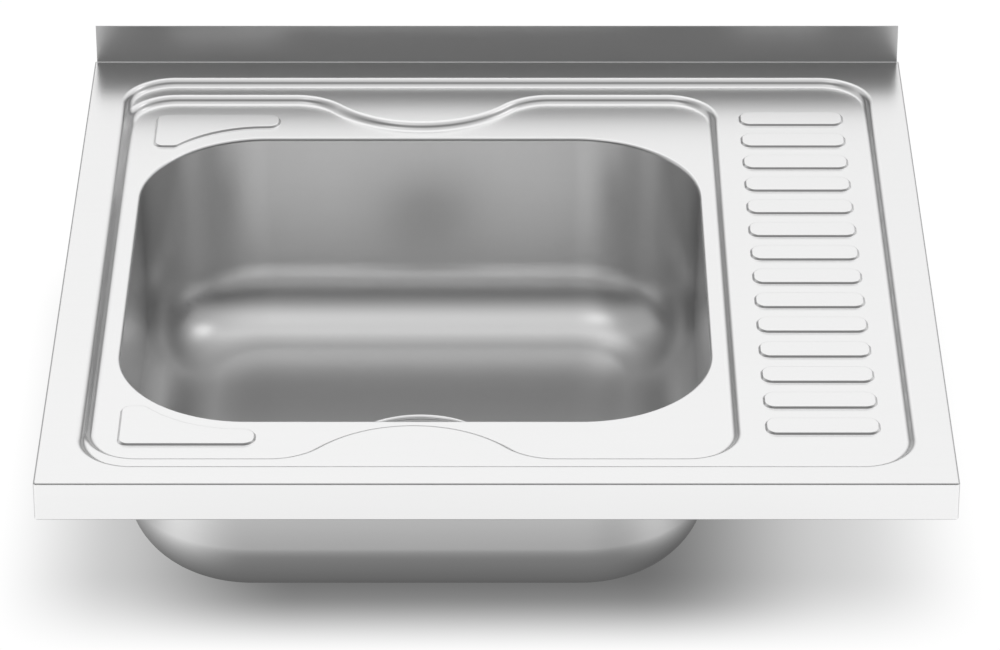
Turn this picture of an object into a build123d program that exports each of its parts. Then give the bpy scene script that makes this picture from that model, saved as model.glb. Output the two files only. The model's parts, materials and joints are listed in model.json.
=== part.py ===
from build123d import *
import os
from math import acos, degrees, hypot, radians, sqrt, tan

os.makedirs("parts", exist_ok=True)

# Lay-on kitchen sink with one bowl and a drainer, for a 600 mm base cabinet.
# Frame: X to the right, Y to the wall, Z up. The origin is the middle of the outline, on the
# cabinet top, which is the plane under the sink's folded edge.

# ------------------------------------------------------------------ driving dimensions (mm)

# Outline and folded edges
sink_width = 600.0
sink_depth = 600.0
sheet = 0.8
edge_height = 28.0  # top of the rim above the cabinet top
fold_radius = 1.6
corner_radius = 2.2
return_width = 12.0  # strip folded inwards at the foot of the edges
splash_height = 30.0  # above the rim
splash_end_gap = 1.2
splash_root_radius = 1.0
splash_top_radius = 0.4

# Sunken field: two steps down from the rim
rim_left = 25.7
rim_right = 26.0
rim_front = 22.7
rim_back = 29.0
step_drop = 5.0
step_lean = 31.0  # of a step's wall from the vertical, in degrees
step_radius = 1.2
field_corner = 36.0  # seen from above, at the top of each step
ledge_left = 1.5  # between the two steps
ledge_depth = 15.0  # between the two steps at the front and back
drainer_width = 111.0

# Tap ledge at the back and its twin at the front, which bulge towards the bowl
dip_depth = 42.0
dip_crest_radius = 84.5
dip_blend_radius = 23.5

# Drainer ribs and corner pads, pressed upwards
rib_count = 14
rib_width = 21.0
rib_corner = 8.0
rib_end_gap = 42.25  # from the foot of the front and back steps
rib_right_gap = 17.3  # from the foot of the right step
rib_left_gap = 18.2  # from the head of the inner step
emboss_height = 1.5
emboss_lean = 40.0  # of a rib's wall from the vertical, in degrees
pad_side_gap = 18.7  # from the foot of the inner step
pad_end_gap = 18.6
pad_width = 90.0
pad_depth = 49.5
pad_arm = 19.2  # width of the arm in front of the bowl
pad_arm_end = 10.0  # straight end of the arm, past the hollow's middle
pad_head_width = 14.9  # width of the other arm at its end
pad_corner = 7.0
pad_tip = 2.0

# Bowl; its gaps run from the foot of the inner step to the bowl's opening
bowl_left_gap = 11.8
bowl_right_gap = 12.0
bowl_front_gap = 10.3
bowl_back_gap = 12.0
bowl_corner = 89.0
bowl_rim_radius = 2.5
bowl_drop = 151.0  # from the surround to the bowl's floor
bowl_draft = 1.0  # lean of the walls, in degrees
bowl_floor_radius = 50.0
collar_height = 8.0  # down to the seam between panel and bowl

# Waste recess and strainer for a 90 mm hole
recess_radius = 57.0
recess_drop = 8.0
recess_edge_radius = 3.0
waste_hole_radius = 45.0
gasket_thickness = 1.5
gasket_margin = 1.0
lower_gasket_thickness = 2.5
strainer_sheet = 1.0
strainer_cup_radius = 41.0
strainer_cup_drop = 33.0
strainer_edge_radius = 5.0
strainer_lip_radius = 0.3
strainer_gap = 0.5  # between the strainer's flange and the recess
drain_hole_count = 8
drain_hole_radius = 6.5
drain_ring_radius = 24.0
well_radius = 10.0
well_drop = 4.0

# Moulded waste body with its outlet
body_wall = 3.0
body_flange_radius = 56.0
body_flange_thickness = 4.0
body_gap = 0.8  # around the strainer cup
chamber_drop = 15.0  # below the strainer cup
outlet_radius = 23.9  # thread of a 1 1/2 inch trap
outlet_length = 20.0
funnel_drop = 11.0
hub_radius = 9.0
hub_height = 10.0
hub_arm_count = 4
hub_arm_width = 3.0
hub_arm_height = 8.0

# Clamp screw and its nut
screw_radius = 3.0
screw_head_radius = 6.0
screw_head_height = 3.0
screw_head_chamfer = 0.7
screw_slot_width = 1.2
screw_slot_drop = 1.2
screw_length = 16.0
screw_end_chamfer = 0.5
screw_clearance = 0.3
nut_radius = 5.5
nut_height = 8.0
thread_clearance = 0.05

# Lift-out basket
basket_radius = 38.0
basket_foot_radius = 35.0
basket_sheet = 0.8
basket_height = 28.0
basket_lip = 1.2
basket_seat_gap = 0.3
basket_hole_radius = 1.7
wall_hole_rows = 3
wall_hole_count = 24
wall_hole_pitch = 6.5
wall_hole_first = 7.5  # lowest row above the basket's foot
floor_hole_rings = 3
floor_ring_radius = 15.0  # of the innermost ring
floor_hole_ring_step = 7.0
floor_hole_count = 16  # in the innermost ring
floor_hole_growth = 8  # more in each ring outwards
seal_thickness = 3.0
seal_lip_width = 4.0
seal_hollow = 1.2
stem_radius = 3.0
washer_radius = 8.0
washer_thickness = 0.8
stem_collar_radius = 5.5
stem_collar_height = 3.0
stem_end = 0.8  # riveted end under the washer
stem_end_radius = 4.5
stem_end_chamfer = 0.4
knob_radius = 14.0
knob_height = 9.0
knob_waist_radius = 7.0
knob_waist_height = 5.0
knob_edge_radius = 3.0
knob_under_radius = 1.5
grip_height = 26.0  # from the basket's floor to the knob
knob_socket = 6.0

# Damping mats
mat_thickness = 2.0
bowl_mat_margin = 85.0  # inside the bowl's opening
bowl_mat_corner = 20.0
bowl_mat_gap = 6.0  # around the recess
drainer_mat_side_gap = 13.5
drainer_mat_end_gap = 51.0

# Fixing angles for the cabinet's sides, and the earth tag
panel_thickness = 18.0
panel_gap = 0.5
bracket_sheet = 1.5
bracket_length = 60.0
bracket_drop = 34.0
bracket_bend = 2.0
bracket_hole_radius = 2.5
bracket_hole_pitch = 36.0
bracket_hole_margin = 10.0  # from the angle's lower end
bracket_end_gap = 110.0  # from the sink's end to the middle of the angle
tag_width = 16.0
tag_length = 34.0
tag_sheet = 1.0
tag_hole_radius = 3.25
tag_hole_margin = 8.0
tag_side_gap = 100.0

# ------------------------------------------------------------------ derived places

rim_z = edge_height
drainer_z = rim_z - step_drop
surround_z = drainer_z - step_drop
step_run = step_drop * tan(radians(step_lean))

field_left = -sink_width / 2 + rim_left + step_run
field_right = sink_width / 2 - rim_right - step_run
field_front = -sink_depth / 2 + rim_front + step_run
field_back = sink_depth / 2 - rim_back - step_run
field_x = (field_left + field_right) / 2
field_y = (field_front + field_back) / 2

basin_left = field_left + ledge_left + step_run
basin_right = field_right - drainer_width - step_run
basin_half = (field_back - field_front) / 2 - ledge_depth - step_run

rib_pitch = (field_back - field_front - rib_width - 2 * rib_end_gap) / (rib_count - 1)
rib_length = drainer_width - rib_left_gap - rib_right_gap

bowl_left = basin_left + bowl_left_gap
bowl_right = basin_right - bowl_right_gap
bowl_front = field_y - basin_half + dip_depth + bowl_front_gap
bowl_back = field_y + basin_half - dip_depth - bowl_back_gap
bowl_x = (bowl_left + bowl_right) / 2
bowl_y = (bowl_front + bowl_back) / 2
bowl_across = bowl_right - bowl_left
bowl_along = bowl_back - bowl_front
seam_z = surround_z - collar_height
floor_z = surround_z - bowl_drop
recess_z = floor_z - recess_drop

waste = Plane((bowl_x, bowl_y, 0))
flange_z = recess_z + gasket_thickness
flange_top = flange_z + strainer_sheet
cup_floor_z = flange_top - strainer_cup_drop
cup_under_z = cup_floor_z - strainer_sheet
well_under_z = cup_under_z - well_drop
body_top = recess_z - sheet - lower_gasket_thickness
chamber_radius = strainer_cup_radius + strainer_sheet + body_gap
chamber_z = cup_under_z - chamber_drop
outlet_top = chamber_z - funnel_drop

seal_z = cup_floor_z + basket_seat_gap
basket_z = seal_z + seal_thickness
knob_z = basket_z + grip_height


def lateral(lean, inset):
    """Shift of a wall's foot when the whole surface moves by inset, square to itself."""
    return inset * tan(radians(90 - lean) / 2)


def waste_plane(z):
    """Level plane on the waste's axis."""
    return waste.offset(z)


def ring(z, height, outer, inner):
    """Flat ring on the waste's axis, from z upwards."""
    with BuildPart() as made:
        with BuildSketch(waste_plane(z)):
            Circle(outer)
            Circle(inner, mode=Mode.SUBTRACT)
        extrude(amount=height)
    return made.part


# ------------------------------------------------------------------ pressed panel


def field_outline(grow):
    """Foot of the outer step."""
    with BuildSketch() as made:
        with Locations((field_x, field_y)):
            RectangleRounded(
                field_right - field_left + 2 * grow,
                field_back - field_front + 2 * grow,
                field_corner - step_run + grow,
            )
    return made.sketch


def basin_outline(grow):
    """Foot of the inner step, with the two ledges that bulge towards the bowl."""
    corner = field_corner - step_run + grow
    blend = dip_blend_radius - step_run + grow
    crest = dip_crest_radius + step_run - grow
    swing = degrees(acos(1 - dip_depth / (blend + crest)))
    reach = sqrt((blend + crest) ** 2 - (blend + crest - dip_depth) ** 2)
    half = basin_half + grow
    left = basin_left - grow
    right = basin_right + grow
    with BuildSketch() as made:
        with BuildLine():
            side = Line((left, 0), (left, corner - half))
            turn = JernArc(side @ 1, side % 1, corner, 90)
            run = Line(turn @ 1, (bowl_x - reach, -half))
            rise = JernArc(run @ 1, run % 1, blend, swing)
            top = JernArc(rise @ 1, rise % 1, crest, -2 * swing)
            fall = JernArc(top @ 1, top % 1, blend, swing)
            rest = Line(fall @ 1, (right - corner, -half))
            end = JernArc(rest @ 1, rest % 1, corner, 90)
            Line(end @ 1, (right, 0))
            mirror(about=Plane.XZ)
        make_face()
    return made.sketch.moved(Location((0, field_y, 0)))


def rib_outline(grow):
    """Foot of one drainer rib, about its own middle."""
    with BuildSketch() as made:
        RectangleRounded(rib_length + 2 * grow, rib_width + 2 * grow, rib_corner + grow)
    return made.sketch


def pad_outline(grow):
    """Foot of the pad in the front left corner; the back one is its mirror image."""
    left = basin_left + pad_side_gap
    front = field_y - basin_half + pad_end_gap
    hollow_reach = pad_width - pad_arm_end
    hollow_rise = pad_depth - pad_arm
    hollow_radius = hypot(hollow_reach - pad_head_width, hollow_rise) ** 2 / (2 * hollow_rise)
    hollow_y = front + pad_arm + hollow_radius
    with BuildSketch() as made:
        with Locations((left, front)):
            Rectangle(pad_width, pad_depth, align=(Align.MIN, Align.MIN))
        with Locations((left + hollow_reach, hollow_y)):
            Circle(hollow_radius, mode=Mode.SUBTRACT)
        with Locations((left + hollow_reach, front + pad_arm)):
            Rectangle(pad_width, pad_depth, align=(Align.MIN, Align.MIN), mode=Mode.SUBTRACT)
        corners = made.vertices()
        tip = corners.group_by(Axis.Y)[-1].sort_by(Axis.X)[-1]
        round_ones = corners.group_by(Axis.X)[0] + corners.group_by(Axis.X)[-1]
        fillet(round_ones, pad_corner)
        fillet(made.vertices().sort_by_distance(tip)[0], pad_tip)
        offset(amount=grow, kind=Kind.ARC)
    return made.sketch


def bowl_outline(z, grow):
    """Inside of the bowl at height z."""
    narrow = (surround_z - z) * tan(radians(bowl_draft)) - grow
    with BuildSketch(Plane((bowl_x, bowl_y, z))) as made:
        RectangleRounded(bowl_across - 2 * narrow, bowl_along - 2 * narrow, bowl_corner - narrow)
    return made.sketch


def soften(block, edges, radius):
    """Round the edges, if their radius outlives the sheet's thickness."""
    if radius > 0:
        fillet(edges, radius)


def pressed_block(inset):
    """Everything under the sheet's upper face, or under its lower face at one sheet inwards."""
    step_shift = lateral(step_lean, inset)
    emboss_shift = lateral(emboss_lean, inset)
    pad = pad_outline(-emboss_shift)
    with BuildPart() as block:
        with BuildSketch(Plane.XY.offset(inset)):
            Rectangle(sink_width - 2 * inset, sink_depth - 2 * inset)
        extrude(amount=edge_height - 2 * inset)
        fillet(block.edges().filter_by(Axis.Z).group_by(Axis.Y)[0], corner_radius - inset)
        level_edges = block.edges().filter_by(Plane.XY)
        wall_edges = level_edges.group_by(Axis.Y)[-1]
        fillet(level_edges - wall_edges, fold_radius - inset)

        with BuildSketch(Plane.XY.offset(drainer_z - inset)):
            add(field_outline(step_shift))
        extrude(amount=step_drop, taper=-step_lean, mode=Mode.SUBTRACT)
        step_edges = block.edges(Select.LAST).filter_by(Plane.XY).group_by(Axis.Z)
        head, foot = step_edges[-1], step_edges[0]
        soften(block, foot, step_radius + inset)
        soften(block, head, step_radius - inset)

        with BuildSketch(Plane.XY.offset(surround_z - inset)):
            add(basin_outline(step_shift))
        extrude(amount=step_drop, taper=-step_lean, mode=Mode.SUBTRACT)
        step_edges = block.edges(Select.LAST).filter_by(Plane.XY).group_by(Axis.Z)
        head, foot = step_edges[-1], step_edges[0]
        soften(block, foot, step_radius + inset)
        soften(block, head, step_radius - inset)

        rib_x = field_right - rib_right_gap - rib_length / 2
        with BuildSketch(Plane((rib_x, field_y, drainer_z - inset))):
            with GridLocations(rib_length, rib_pitch, 1, rib_count):
                add(rib_outline(-emboss_shift))
        extrude(amount=emboss_height, taper=emboss_lean)

        with BuildSketch(Plane.XY.offset(surround_z - inset)):
            add(pad)
            add(mirror(pad, about=Plane.XZ.offset(-field_y)))
        extrude(amount=emboss_height, taper=emboss_lean)

        with BuildSketch(Plane((bowl_x, bowl_y, surround_z - inset))):
            RectangleRounded(bowl_across + 2 * inset, bowl_along + 2 * inset, bowl_corner + inset)
        extrude(amount=-edge_height, taper=bowl_draft, mode=Mode.SUBTRACT)
        fillet(block.edges(Select.LAST).group_by(Axis.Z)[-1], bowl_rim_radius - inset)
    return block.part


def splash():
    """Doubled sheet that stands along the back edge."""
    with BuildPart() as made:
        with BuildSketch(Plane.XY.offset(rim_z - sheet)):
            with Locations((0, sink_depth / 2 - sheet)):
                Rectangle(sink_width - 2 * splash_end_gap, 2 * sheet)
        extrude(amount=splash_height + sheet)
        fillet(made.edges().filter_by(Axis.X).group_by(Axis.Z)[-1], splash_top_radius)
    return made.part


upper_face = pressed_block(0)
lower_face = pressed_block(sheet)

with BuildPart() as deck_panel:
    add(upper_face)
    add(splash())
    root = deck_panel.edges().filter_by(Axis.X).filter_by_position(Axis.Z, rim_z, rim_z)
    fillet(root.sort_by(Axis.Y)[-1], splash_root_radius)
    add(lower_face, mode=Mode.SUBTRACT)
    # The underside is open inside the return strip.
    with BuildSketch():
        Rectangle(sink_width - 2 * return_width, sink_depth - 2 * return_width)
    extrude(amount=sheet, mode=Mode.SUBTRACT)
    # The collar of the bowl's opening ends at the seam.
    with BuildSketch():
        add(bowl_outline(seam_z, 2 * sheet).moved(Location((0, 0, -seam_z))))
    extrude(amount=seam_z, mode=Mode.SUBTRACT)

deck_panel.part.label = "deck_panel"
export_step(deck_panel.part, "parts/deck_panel.step")

# ------------------------------------------------------------------ deep-drawn bowl


def bowl_block(inset):
    """Hollow of the bowl, or its outer skin at one sheet outwards."""
    with BuildPart() as block:
        with BuildSketch(Plane.XY.offset(seam_z)):
            add(bowl_outline(seam_z, inset).moved(Location((0, 0, -seam_z))))
        extrude(amount=floor_z - inset - seam_z, taper=bowl_draft)
        fillet(block.edges().group_by(Axis.Z)[0], bowl_floor_radius + inset)
        with BuildSketch(waste_plane(floor_z - inset)):
            Circle(recess_radius + inset)
        extrude(amount=-recess_drop)
        circles = block.edges().filter_by(GeomType.CIRCLE).filter_by(Plane.XY)
        mouth = circles.filter_by_position(Axis.Z, floor_z - inset, floor_z - inset)
        seat = circles.group_by(Axis.Z)[0]
        full = mouth.filter_by(lambda edge: edge.is_closed)
        fillet(full, recess_edge_radius - inset)
        fillet(seat, recess_edge_radius + inset)
    return block.part


bowl_hollow = bowl_block(0)
bowl_skin = bowl_block(sheet)

with BuildPart() as bowl:
    add(bowl_skin)
    add(bowl_hollow, mode=Mode.SUBTRACT)
    with BuildSketch(waste_plane(recess_z)):
        Circle(waste_hole_radius)
    extrude(amount=-sheet, mode=Mode.SUBTRACT)

bowl.part.label = "bowl"
export_step(bowl.part, "parts/bowl.step")

# ------------------------------------------------------------------ damping mats

bowl_mat_across = bowl_across - 2 * bowl_mat_margin
bowl_mat_along = bowl_along - 2 * bowl_mat_margin

with BuildPart() as sound_pad_bowl:
    with BuildSketch(waste_plane(floor_z - sheet)):
        RectangleRounded(bowl_mat_across, bowl_mat_along, bowl_mat_corner)
        Circle(recess_radius + sheet + bowl_mat_gap, mode=Mode.SUBTRACT)
    extrude(amount=-mat_thickness)

sound_pad_bowl.part.label = "sound_pad_bowl"
export_step(sound_pad_bowl.part, "parts/sound_pad_bowl.step")

drainer_mat_x = field_right - drainer_width / 2
drainer_mat_across = drainer_width - 2 * drainer_mat_side_gap
drainer_mat_along = field_back - field_front - 2 * drainer_mat_end_gap

with BuildPart() as sound_pad_drainer:
    with BuildSketch(Plane((drainer_mat_x, field_y, drainer_z - sheet))):
        Rectangle(drainer_mat_across, drainer_mat_along)
    extrude(amount=-mat_thickness)

sound_pad_drainer.part.label = "sound_pad_drainer"
export_step(sound_pad_drainer.part, "parts/sound_pad_drainer.step")

# ------------------------------------------------------------------ fixing angles and earth tag

leg_x = sink_width / 2 - panel_thickness - panel_gap
strip_end = sink_width / 2 - fold_radius - panel_gap
bracket_y = sink_depth / 2 - bracket_end_gap
hole_z = sheet + bracket_sheet - bracket_drop + bracket_hole_margin


def fixing_angle(side, y):
    """Angle on the return strip, with a leg down the cabinet side; side is -1 left or 1 right."""
    with BuildPart() as made:
        with BuildSketch(Plane.XZ.offset(-y - bracket_length / 2)):
            with BuildLine():
                Polyline(
                    (strip_end, sheet),
                    (leg_x, sheet),
                    (leg_x, sheet + bracket_sheet - bracket_drop),
                    (leg_x - bracket_sheet, sheet + bracket_sheet - bracket_drop),
                    (leg_x - bracket_sheet, sheet + bracket_sheet),
                    (strip_end, sheet + bracket_sheet),
                    close=True,
                )
            make_face()
        extrude(amount=bracket_length)
        bend = made.edges().filter_by(Axis.Y).group_by(Axis.X)[0].sort_by(Axis.Z)[-1]
        fillet(bend, bracket_bend)
        with BuildSketch(Plane.YZ.offset(leg_x)):
            with Locations((y, hole_z)):
                with GridLocations(bracket_hole_pitch, 0, 2, 1):
                    Circle(bracket_hole_radius)
        extrude(amount=-bracket_sheet, mode=Mode.SUBTRACT)
    return made.part if side > 0 else mirror(made.part, about=Plane.YZ)


for side, side_name in ((-1, "left"), (1, "right")):
    for end, end_name in ((-1, "front"), (1, "back")):
        with BuildPart() as bracket:
            add(fixing_angle(side, end * bracket_y))
        bracket.part.label = f"bracket_{end_name}_{side_name}"
        export_step(bracket.part, f"parts/bracket_{end_name}_{side_name}.step")

tag_x = tag_side_gap - sink_width / 2
tag_end = sink_depth / 2 - fold_radius - panel_gap

with BuildPart() as earth_tag:
    with BuildSketch(Plane.XY.offset(sheet)):
        with Locations((tag_x, tag_end)):
            Rectangle(tag_width, tag_length, align=(Align.CENTER, Align.MAX))
        with Locations((tag_x, tag_end - tag_length + tag_hole_margin)):
            Circle(tag_hole_radius, mode=Mode.SUBTRACT)
    extrude(amount=tag_sheet)

earth_tag.part.label = "earth_tag"
export_step(earth_tag.part, "parts/earth_tag.step")

# ------------------------------------------------------------------ strainer and waste body

strainer_flange_radius = recess_radius - recess_edge_radius - strainer_gap
lower_gasket_radius = body_flange_radius - gasket_margin


def cup_block(grow):
    """Hollow of the strainer's cup with the well of its screw, or its skin at one sheet outwards."""
    with BuildPart() as made:
        with BuildSketch(waste_plane(flange_top)):
            Circle(strainer_cup_radius + grow)
        extrude(amount=-strainer_cup_drop - grow)
        fillet(made.edges().group_by(Axis.Z)[0], strainer_edge_radius + grow)
        with BuildSketch(waste_plane(cup_floor_z)):
            Circle(well_radius + grow)
        extrude(amount=-well_drop - grow)
    return made.part


cup_skin = cup_block(strainer_sheet)
cup_hollow = cup_block(0)

with BuildPart() as waste_flange:
    with BuildSketch(waste_plane(flange_z)):
        Circle(strainer_flange_radius)
    extrude(amount=strainer_sheet)
    add(cup_skin)
    add(cup_hollow, mode=Mode.SUBTRACT)
    with BuildSketch(waste_plane(cup_floor_z)):
        with PolarLocations(drain_ring_radius, drain_hole_count):
            Circle(drain_hole_radius)
    extrude(amount=-strainer_sheet, mode=Mode.SUBTRACT)
    with BuildSketch(waste_plane(well_under_z)):
        Circle(screw_radius + screw_clearance)
    extrude(amount=strainer_sheet, mode=Mode.SUBTRACT)
    fillet(waste_flange.edges().group_by(Axis.Z)[-1], strainer_lip_radius)

waste_flange.part.label = "waste_flange"
export_step(waste_flange.part, "parts/waste_flange.step")

with BuildPart() as waste_gasket_upper:
    add(
        ring(
            recess_z,
            gasket_thickness,
            strainer_flange_radius - gasket_margin,
            waste_hole_radius + gasket_margin,
        )
    )

waste_gasket_upper.part.label = "waste_gasket_upper"
export_step(waste_gasket_upper.part, "parts/waste_gasket_upper.step")

with BuildPart() as waste_gasket_lower:
    add(ring(body_top, lower_gasket_thickness, lower_gasket_radius, chamber_radius + gasket_margin))

waste_gasket_lower.part.label = "waste_gasket_lower"
export_step(waste_gasket_lower.part, "parts/waste_gasket_lower.step")

hub_z = well_under_z - hub_height
bore_radius = outlet_radius - body_wall
arm_end_radius = chamber_radius + body_wall / 2

with BuildPart() as waste_body:
    with BuildSketch(waste_plane(body_top)):
        Circle(body_flange_radius)
    extrude(amount=-body_flange_thickness)
    with BuildSketch(waste_plane(body_top)):
        Circle(chamber_radius + body_wall)
    extrude(amount=chamber_z - body_top)
    with BuildSketch(waste_plane(chamber_z)):
        Circle(chamber_radius + body_wall)
    with BuildSketch(waste_plane(outlet_top)):
        Circle(outlet_radius)
    loft()
    with BuildSketch(waste_plane(outlet_top)):
        Circle(outlet_radius)
    extrude(amount=-outlet_length)
    with BuildSketch(waste_plane(body_top)):
        Circle(chamber_radius)
    extrude(amount=chamber_z - body_top, mode=Mode.SUBTRACT)
    with BuildSketch(waste_plane(chamber_z)):
        Circle(chamber_radius)
    with BuildSketch(waste_plane(outlet_top)):
        Circle(bore_radius)
    loft(mode=Mode.SUBTRACT)
    with BuildSketch(waste_plane(outlet_top)):
        Circle(bore_radius)
    extrude(amount=-outlet_length, mode=Mode.SUBTRACT)
    # Arms carry the hub of the clamp screw across the chamber.
    with BuildSketch(waste_plane(hub_z)):
        Circle(arm_end_radius)
        Circle(hub_radius, mode=Mode.SUBTRACT)
        with PolarLocations(0, hub_arm_count // 2, angular_range=180):
            Rectangle(2 * arm_end_radius, hub_arm_width, mode=Mode.INTERSECT)
    extrude(amount=hub_arm_height)
    with BuildSketch(waste_plane(hub_z)):
        Circle(hub_radius)
    extrude(amount=hub_height)
    with BuildSketch(waste_plane(hub_z)):
        Circle(nut_radius)
    extrude(amount=nut_height, mode=Mode.SUBTRACT)
    with BuildSketch(waste_plane(hub_z)):
        Circle(screw_radius + screw_clearance)
    extrude(amount=hub_height, mode=Mode.SUBTRACT)

waste_body.part.label = "waste_body"
export_step(waste_body.part, "parts/waste_body.step")

with BuildPart() as insert_nut:
    add(ring(hub_z, nut_height, nut_radius, screw_radius + thread_clearance))

insert_nut.part.label = "insert_nut"
export_step(insert_nut.part, "parts/insert_nut.step")

screw_head_z = well_under_z + strainer_sheet

with BuildPart() as clamp_screw:
    with BuildSketch(waste_plane(screw_head_z)):
        Circle(screw_head_radius)
    extrude(amount=screw_head_height)
    chamfer(clamp_screw.edges().group_by(Axis.Z)[-1], screw_head_chamfer)
    with BuildSketch(waste_plane(screw_head_z + screw_head_height)):
        Rectangle(2 * screw_head_radius, screw_slot_width)
    extrude(amount=-screw_slot_drop, mode=Mode.SUBTRACT)
    with BuildSketch(waste_plane(screw_head_z)):
        Circle(screw_radius)
    extrude(amount=-screw_length)
    chamfer(clamp_screw.edges().group_by(Axis.Z)[0], screw_end_chamfer)

clamp_screw.part.label = "clamp_screw"
export_step(clamp_screw.part, "parts/clamp_screw.step")

# ------------------------------------------------------------------ lift-out basket

basket_top = basket_z + basket_height
wall_drill_length = 4 * (basket_radius - basket_foot_radius)

with BuildPart() as basket_cup:
    with BuildSketch(waste_plane(basket_z)):
        Circle(basket_foot_radius)
    with BuildSketch(waste_plane(basket_top)):
        Circle(basket_radius)
    loft()
    with BuildSketch(waste_plane(basket_top - basket_sheet)):
        Circle(basket_radius + basket_lip)
    extrude(amount=basket_sheet)
    with BuildSketch(waste_plane(basket_z + basket_sheet)):
        Circle(basket_foot_radius - basket_sheet)
    with BuildSketch(waste_plane(basket_top)):
        Circle(basket_radius - basket_sheet)
    loft(mode=Mode.SUBTRACT)
    with BuildSketch(waste_plane(basket_z)):
        Circle(stem_radius)
        for hole_ring in range(floor_hole_rings):
            ring_radius = floor_ring_radius + hole_ring * floor_hole_ring_step
            with PolarLocations(ring_radius, floor_hole_count + hole_ring * floor_hole_growth):
                Circle(basket_hole_radius)
    extrude(amount=basket_sheet, mode=Mode.SUBTRACT)
    for row in range(wall_hole_rows):
        # Each row is turned by half a pitch against the one below.
        half_pitch = 360 / wall_hole_count / 2
        with Locations((bowl_x, bowl_y, basket_z + wall_hole_first + row * wall_hole_pitch)):
            with PolarLocations(basket_radius, wall_hole_count, start_angle=row * half_pitch):
                Cylinder(
                    basket_hole_radius, wall_drill_length, rotation=(0, 90, 0), mode=Mode.SUBTRACT
                )

basket_cup.part.label = "basket_cup"
export_step(basket_cup.part, "parts/basket_cup.step")

with BuildPart() as basket_seal:
    add(ring(seal_z, seal_thickness, basket_foot_radius, stem_radius))
    with BuildSketch(waste_plane(seal_z)):
        Circle(basket_foot_radius - seal_lip_width)
    extrude(amount=seal_hollow, mode=Mode.SUBTRACT)

basket_seal.part.label = "basket_seal"
export_step(basket_seal.part, "parts/basket_seal.step")

washer_z = seal_z + seal_hollow - washer_thickness

with BuildPart() as basket_washer:
    add(ring(washer_z, washer_thickness, washer_radius, stem_radius))

basket_washer.part.label = "basket_washer"
export_step(basket_washer.part, "parts/basket_washer.step")

with BuildPart() as basket_stem:
    with BuildSketch(waste_plane(washer_z)):
        Circle(stem_radius)
    extrude(amount=knob_z + knob_socket - washer_z)
    with BuildSketch(waste_plane(basket_z + basket_sheet)):
        Circle(stem_collar_radius)
    extrude(amount=stem_collar_height)
    with BuildSketch(waste_plane(washer_z - stem_end)):
        Circle(stem_end_radius)
    extrude(amount=stem_end)
    chamfer(basket_stem.edges().group_by(Axis.Z)[0], stem_end_chamfer)

basket_stem.part.label = "basket_stem"
export_step(basket_stem.part, "parts/basket_stem.step")

with BuildPart() as basket_knob:
    with BuildSketch(waste_plane(knob_z)):
        Circle(knob_waist_radius)
    extrude(amount=knob_waist_height)
    with BuildSketch(waste_plane(knob_z + knob_waist_height)):
        Circle(knob_radius)
    extrude(amount=knob_height)
    fillet(basket_knob.edges().group_by(Axis.Z)[-1], knob_edge_radius)
    fillet(basket_knob.edges().group_by(Axis.Z)[2], knob_under_radius)
    with BuildSketch(waste_plane(knob_z)):
        Circle(stem_radius)
    extrude(amount=knob_socket, mode=Mode.SUBTRACT)

basket_knob.part.label = "basket_knob"
export_step(basket_knob.part, "parts/basket_knob.step")
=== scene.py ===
import json
import logging
import math
from collections.abc import Callable, Iterable, Sequence
from dataclasses import dataclass, field
from enum import Enum
from functools import partialmethod

import bmesh
import bpy
import numpy as np
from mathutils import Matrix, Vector
from mathutils.geometry import delaunay_2d_cdt


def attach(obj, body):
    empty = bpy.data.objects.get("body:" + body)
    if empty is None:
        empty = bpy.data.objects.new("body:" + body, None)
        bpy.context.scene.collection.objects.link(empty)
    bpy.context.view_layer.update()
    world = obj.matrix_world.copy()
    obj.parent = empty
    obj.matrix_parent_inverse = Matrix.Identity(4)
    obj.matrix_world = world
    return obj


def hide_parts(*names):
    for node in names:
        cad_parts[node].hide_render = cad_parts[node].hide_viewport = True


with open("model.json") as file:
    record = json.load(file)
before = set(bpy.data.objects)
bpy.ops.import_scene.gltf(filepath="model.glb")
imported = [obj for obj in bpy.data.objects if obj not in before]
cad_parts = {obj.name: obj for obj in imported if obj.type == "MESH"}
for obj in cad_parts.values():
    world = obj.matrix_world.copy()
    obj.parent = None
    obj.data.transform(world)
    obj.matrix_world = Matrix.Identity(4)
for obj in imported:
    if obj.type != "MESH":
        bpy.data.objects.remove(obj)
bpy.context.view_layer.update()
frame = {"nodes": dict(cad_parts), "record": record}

# Looks of a lay-on kitchen sink with one bowl and a drainer. The pieces are worked out in millimetres
# and degrees in the frame's own axes (+X right, +Y to the wall, +Z up) and written to the meshes in
# metres. The studio is in metres throughout.

METRES = 0.001
WELD = 2e-6  # metres; corners nearer than this are one corner
MERGE = 1e-3  # points of a plan nearer than this are one point
PROBE = 1e-3  # distance to each side at which the face's slope is read
TINY = 1e-6  # a length or angle that counts as none
NORMAL = "exact_normal"  # mesh attribute that carries the normals

Span = tuple[float, float]
Triple = tuple[float, float, float]
Face = tuple[int, ...]
Array = np.ndarray
Row = tuple[Array, float, float, float]  # plan points, height, and how far the normals lean out and up
Socket = bpy.types.NodeSocket
Tree = bpy.types.NodeTree
Value = float | Sequence[float] | Socket

log = logging.getLogger("sink")


# --- outlines from above


def angles_between(start: float, end: float, chords: int) -> Array:
    """Even angles from start to end, which are in degrees, given in radians."""
    return np.radians(np.linspace(start, end, chords + 1))


def turned(start: float, end: float, chords: int) -> list[Span]:
    """Cosines and sines of the same angles."""
    return [(math.cos(t), math.sin(t)) for t in angles_between(start, end, chords)]


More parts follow.
